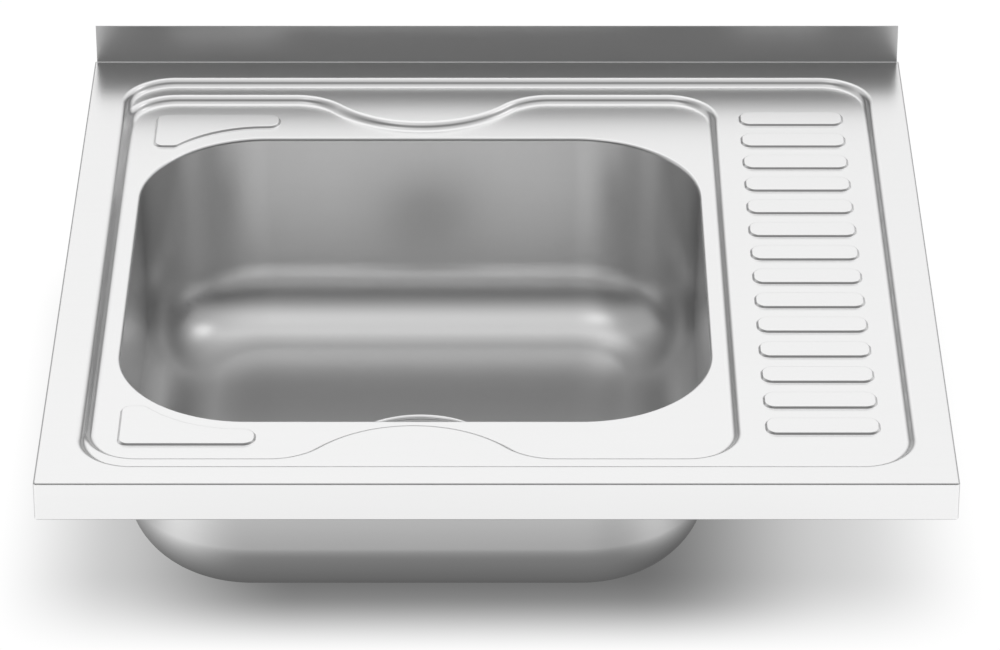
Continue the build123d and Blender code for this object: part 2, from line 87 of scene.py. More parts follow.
@dataclass(frozen=True)
class Arc:
    """Circular part of an outline; a negative sweep is a hollow."""

    x: float
    y: float
    radius: float
    start: float
    sweep: float

    @property
    def side(self) -> float:
        """1 where the outline bulges outwards, -1 where it is hollow."""
        return math.copysign(1.0, self.sweep)

    def spokes(self, step: float) -> Array:
        """Unit vectors from the arc's middle to its points.

        Args:
            step: Largest angle between two points.

        Returns:
            The vectors, both ends included.
        """
        chords = max(1, math.ceil(abs(self.sweep) / step))
        angles = angles_between(self.start, self.start + self.sweep, chords)
        return np.column_stack((np.cos(angles), np.sin(angles)))

    def end(self, last: bool) -> Array:
        """First or last point of the arc.

        Args:
            last: True for the last point.

        Returns:
            The point as an array of x and y.
        """
        angle = math.radians(self.start + (self.sweep if last else 0.0))
        spoke = np.array((math.cos(angle), math.sin(angle)))
        return (self.x, self.y) + self.radius * spoke


@dataclass(frozen=True)
class Outline:
    """Closed smooth outline of arcs joined by straight lines, run with its inside on the left."""

    arcs: tuple[Arc, ...]
    step: float = 3.0  # largest angle between two points of an arc

    def ring(self, offset: float) -> Array:
        """Points of the outline moved outwards.

        Args:
            offset: Distance outwards, negative inwards.

        Returns:
            Array of points, as many at every offset.
        """
        found = []
        for arc in self.arcs:
            reach = arc.radius + offset * arc.side
            found.append((arc.x, arc.y) + reach * arc.spokes(self.step))
        return np.vstack(found)[self._kept()]

    def outwards(self) -> Array:
        """Unit vectors that point outwards at the points of ring()."""
        return np.vstack([arc.side * arc.spokes(self.step) for arc in self.arcs])[self._kept()]

    def _kept(self) -> Array:
        """Finds the first points of arcs that repeat the last point of the arc before.

        Returns:
            Mask that drops them.
        """
        masks = []
        for before, arc in zip(self.arcs[-1:] + self.arcs[:-1], self.arcs):
            mask = np.ones(len(arc.spokes(self.step)), bool)
            mask[0] = np.linalg.norm(before.end(True) - arc.end(False)) > TINY
            masks.append(mask)
        return np.concatenate(masks)

    def distance(self, x: Array, y: Array) -> Array:
        """Signed distance of points from the outline.

        Args:
            x: The points' x.
            y: The points' y.

        Returns:
            Distances, negative inside.
        """
        best = np.full(np.shape(x), np.inf)
        for arc, after in zip(self.arcs, self.arcs[1:] + self.arcs[:1]):
            dx, dy = x - arc.x, y - arc.y
            swung = ((np.degrees(np.arctan2(dy, dx)) - arc.start) * arc.side + TINY) % 360.0
            found = [(swung <= abs(arc.sweep) + 2 * TINY, (np.hypot(dx, dy) - arc.radius) * arc.side)]
            start = arc.end(True)
            run = after.end(False) - start
            length = float(np.linalg.norm(run))
            if length > TINY:
                ux, uy = run / length
                dx, dy = x - start[0], y - start[1]
                along = dx * ux + dy * uy
                found.append(((along >= -TINY) & (along <= length + TINY), dx * uy - dy * ux))
            for within, signed in found:
                best = np.where(within & (np.abs(signed) < np.abs(best)), signed, best)
        return best


@dataclass(frozen=True)
class Extent:
    """Rounded rectangle seen from above."""

    left: float
    right: float
    front: float
    back: float
    corner: float
    step: float = 3.0  # largest angle between two corner points

    @property
    def middle(self) -> Span:
        """Its middle."""
        return (self.left + self.right) / 2, (self.front + self.back) / 2

    @property
    def outline(self) -> Outline:
        """Its outline.

        Returns:
            The outline, from the left front corner.
        """
        x0, x1 = self.left + self.corner, self.right - self.corner
        y0, y1 = self.front + self.corner, self.back - self.corner
        corners = ((x0, y0, 180.0), (x1, y0, 270.0), (x1, y1, 0.0), (x0, y1, 90.0))
        return Outline(tuple(Arc(x, y, self.corner, start, 90.0) for x, y, start in corners), self.step)


@dataclass(frozen=True)
class Bend:
    """Pressed step: two equal arcs with a short slope between them."""

    drop: float
    radius: float
    slope: float  # steepest angle
    chords: int = 7  # in each arc

    @property
    def half(self) -> float:
        """Half of the step's width.

        Returns:
            The distance from the middle of the wall to its head or its foot.
        """
        angle = math.radians(self.slope)
        straight = self.drop - 2 * self.radius * (1 - math.cos(angle))
        return self.radius * math.sin(angle) + straight / math.tan(angle) / 2

    def offsets(self) -> list[float]:
        """Places at which the step is cut.

        Returns:
            Distances from the middle of the wall, inside first.
        """
        angles = angles_between(0, self.slope, self.chords)
        inner = -self.half + self.radius * np.sin(angles)
        return list(inner) + list(-inner[::-1])

    def height(self, distance: Array) -> Array:
        """Height above the step's foot.

        Args:
            distance: Distance from the middle of the wall, positive towards the head.

        Returns:
            Heights from 0 to the drop.
        """
        angle = math.radians(self.slope)
        away = np.abs(distance)
        reach = np.clip(self.half - away, 0, self.radius * math.sin(angle))
        round_part = self.drop / 2 - (self.radius - np.sqrt(self.radius**2 - reach**2))
        is_straight = away < self.half - self.radius * math.sin(angle)
        rise = np.where(is_straight, away * math.tan(angle), round_part)
        return self.drop / 2 + np.sign(distance) * rise


# --- meshes with exact normals


@dataclass
class Patch:
    """Faces with one normal at each point."""

    points: Array
    normals: Array
    faces: list[Face]


def joined(patches: Sequence[Patch]) -> Patch:
    """One patch of several.

    Args:
        patches: The patches.

    Returns:
        A patch with all their points and faces.
    """
    faces, first = [], 0
    for patch in patches:
        faces += [tuple(first + i for i in face) for face in patch.faces]
        first += len(patch.points)
    return Patch(np.vstack([p.points for p in patches]), np.vstack([p.normals for p in patches]), faces)


def strip(rings: Sequence[Array], normals: Sequence[Array], closed: bool = True) -> Patch:
    """Faces between rings of as many points each.

    Args:
        rings: Rings of points.
        normals: Normals at the rings' points.
        closed: True where each ring's last point joins its first.

    Returns:
        The strip.
    """
    count = len(rings[0])
    faces = []
    for row in range(len(rings) - 1):
        for i in range(count if closed else count - 1):
            j = (i + 1) % count
            low, high = row * count, (row + 1) * count
            faces.append((low + i, low + j, high + j, high + i))
    return Patch(np.vstack(rings), np.vstack(normals), faces)


def flat(points: Array | Sequence[Triple], normal: Triple, faces: list[Face] | None = None) -> Patch:
    """Flat patch.

    Args:
        points: The patch's points; without faces they are the corners of one polygon.
        normal: The patch's normal.
        faces: Its faces.

    Returns:
        The patch.
    """
    points = np.asarray(points, float)
    normals = np.tile(np.asarray(normal, float), (len(points), 1))
    return Patch(points, normals, faces or [tuple(range(len(points)))])


def level(plan: Array, z: float) -> Array:
    """Gives plan points or plan vectors one height."""
    return np.column_stack((plan, np.full(len(plan), z)))


def swept(outwards: Array, rows: Sequence[Row], closed: bool = True) -> Patch:
    """Strip through rows of plan points, from the unit vectors outwards at each point of a row."""
    rings = [level(ring, z) for ring, z, _, _ in rows]
    return strip(rings, [level(outwards * out, up) for _, _, out, up in rows], closed)


def triangulate(
    rings: Iterable[Array], keep: Callable[[Array, Array], Array]
) -> tuple[Array, list[Face]]:
    """Triangles that keep every ring's edges.

    Args:
        rings: Closed rings of plan points.
        keep: Tells from the middles' x and y which triangles stay.

    Returns:
        Plan points and triangles.
    """
    points, edges = [], []
    for ring in rings:
        first, count = len(points), len(ring)
        points += [Vector(point) for point in ring]
        edges += [(first + i, first + (i + 1) % count) for i in range(count)]
    found, _, faces, *_ = delaunay_2d_cdt(points, edges, [], 0, MERGE)
    exact = np.array([tuple(point) for point in found], float)
    middles = np.array([exact[list(face)].mean(0) for face in faces])
    kept = keep(middles[:, 0], middles[:, 1])
    return exact, [tuple(face) for face, good in zip(faces, kept) if good]


@dataclass
class Shell:
    """Closed mesh gathered from patches; it becomes one Blender object."""

    patches: list[Patch] = field(default_factory=list)

    def add(self, patch: Patch, thickness: float = 0.0) -> None:
        """Adds a patch, and its other side where it has a thickness.

        Args:
            patch: The patch.
            thickness: The sheet's thickness, or 0 for one side alone.
        """
        self.patches.append(patch)
        if thickness:
            inner = patch.points - thickness * patch.normals
            self.patches.append(Patch(inner, -patch.normals, patch.faces))

    def wrap(
        self, outwards: Array, rows: Sequence[Row], thickness: float, edge: int, facing: Span
    ) -> None:
        """Adds a sheet that runs round, and closes one of its edges.

        Args:
            outwards: Unit vectors that point outwards at each point of a row.
            rows: Rows of the sheet's outer side.
            thickness: The sheet's thickness.
            edge: Row at the closed edge, 0 or -1.
            facing: How far that edge's normal leans out and up.
        """
        self.add(swept(outwards, rows), thickness)
        ring, z, out, up = rows[edge]
        inner = ring - thickness * (outwards * out)
        self.add(swept(outwards, [(ring, z, *facing), (inner, z - thickness * up, *facing)]))

    def build(self, name: str) -> bpy.types.Object:
        """Welds the patches and gives the mesh its exact normals.

        Args:
            name: The object's name.

        Returns:
            The object, linked to the scene.
        """
        mesh = bmesh.new()
        layer = mesh.loops.layers.float_vector.new(NORMAL)
        for patch in self.patches:
            corners = [mesh.verts.new(point) for point in patch.points * METRES]
            for face in patch.faces:
                face = tuple(dict.fromkeys(face))
                places = patch.points[list(face)]
                around = np.cross(places, np.roll(places, -1, axis=0)).sum(0)
                if around @ patch.normals[list(face)].sum(0) < 0:
                    face = face[::-1]
                made = mesh.faces.new([corners[i] for i in face])
                made.smooth = True
                for loop, i in zip(made.loops, face):
                    loop[layer] = patch.normals[i]
        bmesh.ops.remove_doubles(mesh, verts=mesh.verts, dist=WELD)
        bmesh.ops.delete(mesh, geom=[v for v in mesh.verts if not v.link_faces], context="VERTS")
        data = bpy.data.meshes.new(name)
        mesh.to_mesh(data)
        mesh.free()
        normals = read_vectors(data, NORMAL)
        data.attributes.remove(data.attributes[NORMAL])
        data.normals_split_custom_set(normals.tolist())
        return placed(name, data)


def read_vectors(data: bpy.types.Mesh, name: str) -> Array:
    """Vectors that a mesh stores.

    Args:
        data: The mesh.
        name: The attribute's name.

    Returns:
        One vector for each point or corner.
    """
    stored = data.attributes[name].data
    found = np.zeros(len(stored) * 3, np.float32)
    stored.foreach_get("vector", found)
    return found.reshape(-1, 3)


def placed(name: str, data: bpy.types.ID) -> bpy.types.Object:
    """New object in the scene.

    Args:
        name: The object's name.
        data: Its mesh or camera.

    Returns:
        The object.
    """
    made = bpy.data.objects.new(name, data)
    bpy.context.scene.collection.objects.link(made)
    return made


# --- node trees


class Net:
    """Lays out the nodes of one tree."""

    prefix = "ShaderNode"

    def __init__(self, tree: Tree) -> None:
        """Keeps the tree to lay nodes into."""
        self.tree = tree

    def node(
        self, kind: str, inputs: dict[str | int, Value] | None = None, **settings: object
    ) -> bpy.types.Node:
        """Adds a node.

        Args:
            kind: The node's type after the prefix, or its whole type.
            inputs: Values or sockets for its inputs, by name or place.
            **settings: The node's own settings.

        Returns:
            The node.
        """
        made = self.tree.nodes.new(kind if "Node" in kind else self.prefix + kind)
        for key, setting in settings.items():
            setattr(made, key, setting)
        for key, given in (inputs or {}).items():
            if isinstance(given, Socket):
                self.tree.links.new(given, made.inputs[key])
            else:
                made.inputs[key].default_value = given
        return made

    def calc(self, operation: str, *values: Value, kind: str = "Math", out: int = 0) -> Socket:
        """Adds a node that works out a value, and takes the output at the place named."""
        return self.node(kind, dict(enumerate(values)), operation=operation).outputs[out]

    vector = partialmethod(calc, kind="VectorMath")  # the same for vectors

    def remap(
        self, value: Value, source: Span, target: Span = (0.0, 1.0), soft: bool = False
    ) -> Socket:
        """Moves a value from one span to another and holds it at the ends.

        Args:
            value: The value.
            source: Span that it comes from.
            target: Span that it goes to.
            soft: True where the ends are reached without a kink.

        Returns:
            The result.
        """
        given = {
            "Value": value, "From Min": source[0], "From Max": source[1],
            "To Min": target[0], "To Max": target[1],
        }
        kind = "SMOOTHSTEP" if soft else "LINEAR"
        return self.node("MapRange", given, interpolation_type=kind).outputs[0]


class Effect(Net):
    """Node group with named sockets."""

    kind = "ShaderNodeTree"

    def __init__(self, name: str, inputs: dict[str, str], outputs: dict[str, str]) -> None:
        """Starts a group with its sockets.

        Args:
            name: The group's name.
            inputs: Socket kind by name.
            outputs: Socket kind by name.
        """
        super().__init__(bpy.data.node_groups.new(name, self.kind))
        for side, sockets in (("INPUT", inputs), ("OUTPUT", outputs)):
            for key, kind in sockets.items():
                self.tree.interface.new_socket(key, in_out=side, socket_type=f"NodeSocket{kind}")
        self.ports = self.tree.nodes.new("NodeGroupInput").outputs
        self.exit = self.tree.nodes.new("NodeGroupOutput").inputs

    def give(self, name: str, source: Socket) -> None:
        """Joins a socket to one of the group's outputs."""
        self.tree.links.new(source, self.exit[name])


class ShapeTree(Effect):
    """Geometry Nodes tree with a shape and a material among its inputs."""

    prefix = "GeometryNode"
    kind = "GeometryNodeTree"

    def finish(self, shape: Socket) -> Tree:
        """Ends the tree in Realize Instances and Set Material.

        Args:
            shape: The socket with the finished shape.

        Returns:
            The tree.
        """
        real = self.node("RealizeInstances", {"Geometry": shape})
        given = {"Geometry": real.outputs[0], "Material": self.ports["Material"]}
        self.give("Geometry", self.node("SetMaterial", given).outputs[0])
        return self.tree


def row_tree() -> Tree:
    """Builds what repeats a shape at an even pitch along Y.

    Returns:
        The tree.
    """
    sockets = {"Geometry": "Geometry", "Count": "Int", "Pitch": "Float", "Material": "Material"}
    made = ShapeTree("rib_row", sockets, {"Geometry": "Geometry"})
    ports = made.ports
    move = made.node("ShaderNodeCombineXYZ", {"Y": ports["Pitch"]}).outputs[0]
    line = made.node("MeshLine", {"Count": ports["Count"], "Offset": move}, mode="OFFSET").outputs[0]
    copies = made.node("InstanceOnPoints", {"Points": line, "Instance": ports["Geometry"]})
    return made.finish(copies.outputs[0])


def run_tree(source: bpy.types.Object, tree: Tree, inputs: dict[str, float]) -> bpy.types.Mesh:
    """Mesh that a tree makes of an object; the object is removed.

    Args:
        source: Object that the tree starts from.
        tree: The tree.
        inputs: Values of its inputs by name.

    Returns:
        The plain mesh.
    """
    modifier = source.modifiers.new(tree.name, "NODES")
    modifier.node_group = tree
    for item in tree.interface.items_tree:
        if item.in_out == "INPUT" and item.name in inputs:
            modifier[item.identifier] = inputs[item.name]
    graph = bpy.context.evaluated_depsgraph_get()
    made = bpy.data.meshes.new_from_object(source.evaluated_get(graph), depsgraph=graph)
    source.modifiers.remove(modifier)
    bpy.data.objects.remove(source)
    return made


# --- finishes


class Slot(Enum):
    """Material slots of the record."""

    STEEL_SATIN = "steel_satin"
    STEEL_POLISHED = "steel_polished"
    GALVANISED = "galvanised"
    BITUMEN = "bitumen"
    RUBBER_BLACK = "rubber_black"
    PLASTIC_WHITE = "plastic_white"
    PLASTIC_BLACK = "plastic_black"
    BRASS = "brass"


def grain_effect() -> Tree:
    """Builds the rolling grain of sheet steel.

    Returns:
        Group that gives the height of its hairs, and wide streaks from -1 to 1.
    """
    knobs = {"Place": "Vector", "Fine": "Float", "Stretch": "Float"}
    made = Effect("rolled_grain", knobs, {"Height": "Float", "Streak": "Float"})
    streak_share, streak_span = 0.08, (0.3, 0.7)
    squeeze = made.node("CombineXYZ", {"X": made.ports["Stretch"], "Y": 1.0, "Z": 1.0}).outputs[0]
    along = made.vector("MULTIPLY", made.ports["Place"], squeeze)
    hairs = {"Vector": along, "Scale": made.ports["Fine"], "Detail": 3.0, "Roughness": 0.6}
    made.give("Height", made.node("TexNoise", hairs).outputs["Fac"])
    coarse = made.calc("MULTIPLY", made.ports["Fine"], streak_share)
    streak = made.node("TexNoise", {"Vector": along, "Scale": coarse, "Detail": 4.0})
    made.give("Streak", made.remap(streak.outputs["Fac"], streak_span, (-1.0, 1.0)))
    return made.tree


def speckle_effect() -> Tree:
    """Builds the mottling of cast, moulded and plated surfaces.

    Returns:
        Group that gives a height, a mask and the tone of large cells, all from 0 to 1.
    """
    knobs = {"Place": "Vector", "Scale": "Float", "Cells": "Float"}
    made = Effect("speckle", knobs, {"Height": "Float", "Mask": "Float", "Cell": "Float"})
    place, mask_span = made.ports["Place"], (0.35, 0.65)
    grains = {"Vector": place, "Scale": made.ports["Scale"], "Detail": 5.0, "Roughness": 0.65}
    noise = made.node("TexNoise", grains).outputs["Fac"]
    cells = made.node("TexVoronoi", {"Vector": place, "Scale": made.ports["Cells"]})
    made.give("Height", noise)
    made.give("Mask", made.remap(noise, mask_span))
    made.give("Cell", made.node("RGBToBW", {"Color": cells.outputs["Color"]}).outputs[0])
    return made.tree


def tone_effect() -> Tree:
    """Builds a colour and a roughness that vary a little with a mask.

    Returns:
        Group that gives both.
    """
    knobs = {"Colour": "Color"}
    knobs |= dict.fromkeys(("Mask", "Colour Swing", "Roughness", "Roughness Swing"), "Float")
    made = Effect("tone", knobs, {"Colour": "Color", "Roughness": "Float"})
    ports = made.ports
    scaled = made.calc("MULTIPLY_ADD", ports["Mask"], ports["Colour Swing"], 1.0)
    colour = made.node("VectorMath", {0: ports["Colour"], "Scale": scaled}, operation="SCALE")
    made.give("Colour", colour.outputs[0])
    rough = made.calc("MULTIPLY_ADD", ports["Mask"], ports["Roughness Swing"], ports["Roughness"])
    made.give("Roughness", rough)
    return made.tree


@dataclass(frozen=True)
class Effects:
    """Shared node groups, built once."""

    grain: Tree
    speckle: Tree
    tone: Tree


@dataclass(frozen=True)
class Finish:
    """Look of one slot: a tone that varies with a mask, and a fine relief."""

    slot: Slot
    colour: Triple
    roughness: float
    metallic: float = 0.0
    bump: float = 0.3
    depth: float = 0.0002  # metres
    colour_swing: float = 0.1
    roughness_swing: float = 0.08

    def grain(self, effects: Effects) -> tuple[Tree, str, dict[str, float]]:
        """Says which group is the grain, which of its outputs is the mask, and the group's settings."""
        raise NotImplementedError

    def build(self, effects: Effects) -> bpy.types.Material:
        """Makes the material.

        Args:
            effects: The shared node groups.

        Returns:
            The material.
        """
        material = bpy.data.materials.new(self.slot.value)
        material.use_nodes = True
        net = Net(material.node_tree)
        ports = net.tree.nodes["Principled BSDF"].inputs
        ports["Metallic"].default_value = self.metallic
        group, mask, given = self.grain(effects)
        given = {"Place": net.node("TexCoord").outputs["Object"], **given}
        grain = net.node("Group", given, node_tree=group).outputs
        given = {
            "Colour": (*self.colour, 1.0),
            "Mask": grain[mask],
            "Colour Swing": self.colour_swing,
            "Roughness": self.roughness,
            "Roughness Swing": self.roughness_swing,
        }
        tone = net.node("Group", given, node_tree=effects.tone).outputs
        given = {"Strength": self.bump, "Distance": self.depth, "Height": grain["Height"]}
        bump = net.node("Bump", given).outputs["Normal"]
        for source, target in ((tone[0], "Base Color"), (tone[1], "Roughness"), (bump, "Normal")):
            net.tree.links.new(source, ports[target])
        return material


@dataclass(frozen=True)
class SteelFinish(Finish):
    """Rolled stainless sheet."""

    metallic: float = 1.0
    bump: float = 0.02
    depth: float = 0.00002
    colour_swing: float = 0.004
    roughness_swing: float = 0.004
    fine: float = 2400.0
    stretch: float = 0.03

    def grain(self, effects: Effects) -> tuple[Tree, str, dict[str, float]]:
        """Takes the rolled grain."""
        return effects.grain, "Streak", {"Fine": self.fine, "Stretch": self.stretch}


@dataclass(frozen=True)
class CastFinish(Finish):
    """Moulded, pressed or plated surface with a mottled grain."""

    scale: float = 400.0
    cells: float = 120.0
    by_cell: bool = False

    def grain(self, effects: Effects) -> tuple[Tree, str, dict[str, float]]:
        """Takes the mottling."""
        mask = "Cell" if self.by_cell else "Mask"
        return effects.speckle, mask, {"Scale": self.scale, "Cells": self.cells}


FINISHES: tuple[Finish, ...] = (
    SteelFinish(Slot.STEEL_SATIN, (0.79, 0.79, 0.79), 0.28),
    SteelFinish(Slot.STEEL_POLISHED, (0.9, 0.9, 0.9), 0.16, bump=0.01),
    CastFinish(
        Slot.GALVANISED, (0.50, 0.52, 0.54), 0.38, metallic=1.0, scale=900.0, cells=170.0,
        bump=0.1, depth=0.00005, colour_swing=0.35, roughness_swing=0.12, by_cell=True,
    ),
    CastFinish(
        Slot.BITUMEN, (0.055, 0.055, 0.06), 0.75, scale=700.0, bump=0.6, depth=0.0004, colour_swing=0.5
    ),
    CastFinish(Slot.RUBBER_BLACK, (0.022, 0.022, 0.023), 0.6, scale=1200.0, colour_swing=0.3),
    CastFinish(Slot.PLASTIC_WHITE, (0.78, 0.78, 0.76), 0.42, scale=500.0, bump=0.12, colour_swing=0.03),
    CastFinish(Slot.PLASTIC_BLACK, (0.02, 0.02, 0.022), 0.25, scale=300.0, bump=0.05, colour_swing=0.2),
    CastFinish(Slot.BRASS, (0.76, 0.58, 0.30), 0.28, metallic=1.0, scale=800.0, bump=0.08, depth=0.00005),
)


# --- the sink's pieces


@dataclass(frozen=True)
class Basin:
    """Places that the panel and the bowl share."""

    opening: Extent = Extent(-255.0, 145.0, -204.0, 196.0, 89.0, 2.5)
    draft: float = 1.0
    top: float = 18.0
    seam: float = 10.0
    sheet: float = 0.8

    @property
    def outline(self) -> Outline:
        """Outline of the opening where the wall meets the surround."""
        return self.opening.outline

    def wall(self, z: float) -> float:
        """Offset of the drafted wall from the outline at a height."""
        return (z - self.top) * math.tan(math.radians(self.draft))


@dataclass(frozen=True)
class DeckPanel:
    """Pressed panel with its folded edges, splashback and collar."""

    basin: Basin
    half: float = 300.0
    rim_z: float = 28.0
    step: Bend = Bend(5.0, 5.0, 57.0)
    outer: Extent = Extent(-272.1, 272.5, -275.8, 269.5, 34.5)
    inner: Extent = Extent(-269.15, 158.6, -257.9, 251.4, 33.5)
    # The two ledges that bulge towards the bowl.
    ledge_depth: float = 42.0
    ledge_blend: float = 42.0
    ledge_crest: float = 84.0
    # Ribs and pads.
    emboss: Bend = Bend(1.8, 0.9, 56.0)
    emboss_skin: float = 0.5  # how far the lower skin's walls stand inside the upper skin's
    emboss_step: float = 6.0  # between two points of their corners
    rib_ends: Span = (178.0, 252.8)
    rib_half: float = 9.9
    rib_corner: float = 7.4
    rib_count: int = 14
    rib_pitch: float = 33.6
    rib_first: float = -221.2
    pad_ends: Span = (-249.5, -159.4)
    pad_edges: Span = (-236.4, 230.8)  # the front pad's front and the back pad's back
    pad_depths: Span = (49.0, 19.2)  # at the left and at the right
    pad_head: float = 15.6  # width at the full depth
    pad_tail: float = 10.0  # length beyond the hollow's foot
    pad_corners: Triple = (6.4, 8.2, 4.5)  # radii at the left, at the right and at the head's tip
    # Folded edges: radii of the corner, the fold and the foot, and the return strip's width.
    corner: float = 2.2
    fold: float = 1.6
    foot: float = 0.85
    strip_width: float = 12.0
    # Splashback: height of its top, thickness, radius at its root and at its head.
    splash_top: float = 58.0
    splash: float = 1.0
    root: float = 0.6
    hem: float = 0.4
    # Rounded rim of the bowl's opening.
    rim_radius: float = 2.5
    # Chords in a quarter turn of the rim, of the folds and of the splashback's curves.
    rim_turns: int = 8
    fold_turns: int = 6
    splash_turns: int = 5

    def inner_step(self) -> Outline:
        """Inner step with its two ledges.

        Returns:
            Middle of its wall.
        """
        blend, crest, depth = self.ledge_blend, self.ledge_crest, self.ledge_depth
        x = self.basin.opening.middle[0]
        swing = math.degrees(math.acos(1 - depth / (blend + crest)))
        reach = (blend + crest) * math.sin(math.radians(swing))
        left_front, right_front, right_back, left_back = self.inner.outline.arcs
        near, far = (
            (
                Arc(x - sign * reach, edge + sign * blend, blend, 180 + sign * 90, swing),
                Arc(x, edge + sign * depth - sign * crest, crest, 180 - sign * 90 + swing, -2 * swing),
                Arc(x + sign * reach, edge + sign * blend, blend, 180 + sign * 90 - swing, swing),
            )
            for sign, edge in ((1, self.inner.front), (-1, self.inner.back))
        )
        return Outline((left_front, *near, right_front, right_back, *far, left_back))

    def ribs(self) -> list[Outline]:
        """Ribs of the drainer.

        Returns:
            Middles of their walls, from the front.
        """
        found = []
        for i in range(self.rib_count):
            y = self.rib_first + i * self.rib_pitch
            sides = (y - self.rib_half, y + self.rib_half)
            found.append(Extent(*self.rib_ends, *sides, self.rib_corner, self.emboss_step).outline)
        return found

    def pads(self) -> list[Outline]:
        """Corner pads, each with a hollow that follows the bowl's corner.

        Returns:
            Middles of their walls, the front one first.
        """
        (left, right), (front, back), (edge, arm) = self.pad_ends, self.pad_edges, self.pad_depths
        corner, end, tip = self.pad_corners
        reach, rise = right - left - self.pad_tail, edge - arm
        hollow = ((reach - self.pad_head) ** 2 + rise**2) / (2 * rise)
        hollow_x, hollow_y, tip_y = left + reach, arm + hollow, edge - tip
        tip_x = hollow_x - math.sqrt((hollow + tip) ** 2 - (hollow_y - tip_y) ** 2)
        turn = 90.0 - math.degrees(math.atan2(hollow_y - tip_y, hollow_x - tip_x))
        arcs = (
            Arc(left + corner, corner, corner, 180, 90),
            Arc(right - end, end, end, 270, 90),
            Arc(right - end, arm - end, end, 0, 90),
            Arc(hollow_x, hollow_y, hollow, 270, -turn),
            Arc(tip_x, tip_y, tip, 90 - turn, turn),
            Arc(left + corner, edge - corner, corner, 90, 90),
        )
        near = tuple(Arc(a.x, front + a.y, a.radius, a.start, a.sweep) for a in arcs)
        far = tuple(Arc(a.x, back - a.y, a.radius, -a.start - a.sweep, a.sweep) for a in arcs[::-1])
        return [Outline(pad, self.emboss_step) for pad in (near, far)]

    def build(self) -> bpy.types.Object:
        """Builds the panel.

        Returns:
            The panel's object.
        """
        shell = Shell()
        self._face(shell)
        shell.add(self._rib_row())
        for pad in self.pads():
            shell.add(self._cap(pad, self.basin.top))
        self._mouth(shell)
        self._edges(shell)
        self._back(shell)
        self._splash(shell)
        made = shell.build("deck_panel_fine")
        log.info("deck panel: %d faces, %d ribs", len(made.data.polygons), self.rib_count)
        return made

    def _face(self, shell: Shell) -> None:
        """Adds the pressed face with holes for the ribs, the pads and the bowl.

        Args:
            shell: The shell to add to.
        """
        steps = (self.outer.outline, self.inner_step())
        holes = [(self.basin.outline, self._rim_shift)]
        holes += [(outline, self.emboss.half) for outline in self.ribs() + self.pads()]
        rings = [self._edge(self.fold, self._root_y)[0]]
        rings += [outline.ring(rim) for outline, rim in holes]
        rings += [outline.ring(offset) for outline in steps for offset in self.step.offsets()]

        def keep(x: Array, y: Array) -> Array:
            """Tells which places (x, y) lie outside all holes."""
            return np.all([outline.distance(x, y) > rim for outline, rim in holes], axis=0)

        def height(x: Array, y: Array) -> Array:
            """Gives the pressed face's height at places (x, y)."""
            rises = (self.step.height(outline.distance(x, y)) for outline in steps)
            return self.rim_z - sum(self.step.drop - rise for rise in rises)

        plan, faces = triangulate(rings, keep)
        x, y = plan.T
        slope_x = (height(x + PROBE, y) - height(x - PROBE, y)) / (2 * PROBE)
        slope_y = (height(x, y + PROBE) - height(x, y - PROBE)) / (2 * PROBE)
        normals = np.column_stack((-slope_x, -slope_y, np.ones(len(x))))
        normals /= np.linalg.norm(normals, axis=1)[:, None]
        shell.add(Patch(np.column_stack((x, y, height(x, y))), normals, faces), self.basin.sheet)

    def _cap(self, outline: Outline, base: float) -> Patch:
        """Both skins of one embossed shape, down to the flat sheet around it.

        Args:
            outline: Middle of the shape's wall.
            base: Height of the sheet around it.

        Returns:
            The patch.
        """
        bend, skins = self.emboss, []
        steepest = math.sin(math.radians(bend.slope))
        for drop, inset, facing in ((0.0, 0.0, 1.0), (self.basin.sheet, self.emboss_skin, -1.0)):
            rows = [(outline.ring(bend.half), base - drop, 0, facing)] if inset else []
            for offset in bend.offsets()[::-1]:
                rise = bend.drop - float(bend.height(np.array(offset)))
                lean = min(steepest, (bend.half - abs(offset)) / bend.radius)
                ring, up = outline.ring(offset - inset), math.sqrt(1 - lean**2)
                rows.append((ring, base - drop + rise, facing * lean, facing * up))
            skin = swept(outline.outwards(), rows)
            count = len(skin.points)
            skin.faces.append(tuple(range(count - count // len(rows), count)))
            skins.append(skin)
        return joined(skins)

    def _rib_row(self) -> Patch:
        """Repeats one rib by Geometry Nodes.

        Returns:
            All ribs.
        """
        cap = self._cap(self.ribs()[0], self.rim_z - self.step.drop)
        data = bpy.data.meshes.new("rib")
        data.from_pydata((cap.points * METRES).tolist(), [], cap.faces)
        stored = data.attributes.new(NORMAL, "FLOAT_VECTOR", "POINT")
        stored.data.foreach_set("vector", cap.normals.astype(np.float32).ravel())
        given = {"Count": self.rib_count, "Pitch": self.rib_pitch * METRES}
        row = run_tree(placed("rib", data), row_tree(), given)
        faces = [tuple(polygon.vertices) for polygon in row.polygons]
        found = Patch(read_vectors(row, "position") / METRES, read_vectors(row, NORMAL), faces)
        bpy.data.meshes.remove(row)
        return found

    @property
    def _root_y(self) -> float:
        """Where the deck ends and the splashback's root begins."""
        return self.half - self.splash - self.root

    @property
    def _rim_shift(self) -> float:
        """Offset of the rounded rim's inner edge from the opening's outline."""
        lean = math.radians(self.basin.draft)
        return self.rim_radius * (1 - math.sin(lean)) / math.cos(lean)

    def _mouth(self, shell: Shell) -> None:
        """Adds the rounded rim and the collar down to the seam.

        Args:
            shell: The shell to add to.
        """
        basin, outline = self.basin, self.basin.outline
        shift, radius, rows = self._rim_shift, self.rim_radius, []
        for cos, sin in turned(0, 90 - basin.draft, self.rim_turns):
            rows.append((outline.ring(shift - radius * sin), basin.top - radius + radius * cos, -sin, cos))
        rows.append((outline.ring(basin.wall(basin.seam)), basin.seam, *rows[-1][2:]))
        shell.wrap(outline.outwards(), rows, basin.sheet, -1, (0, -1))

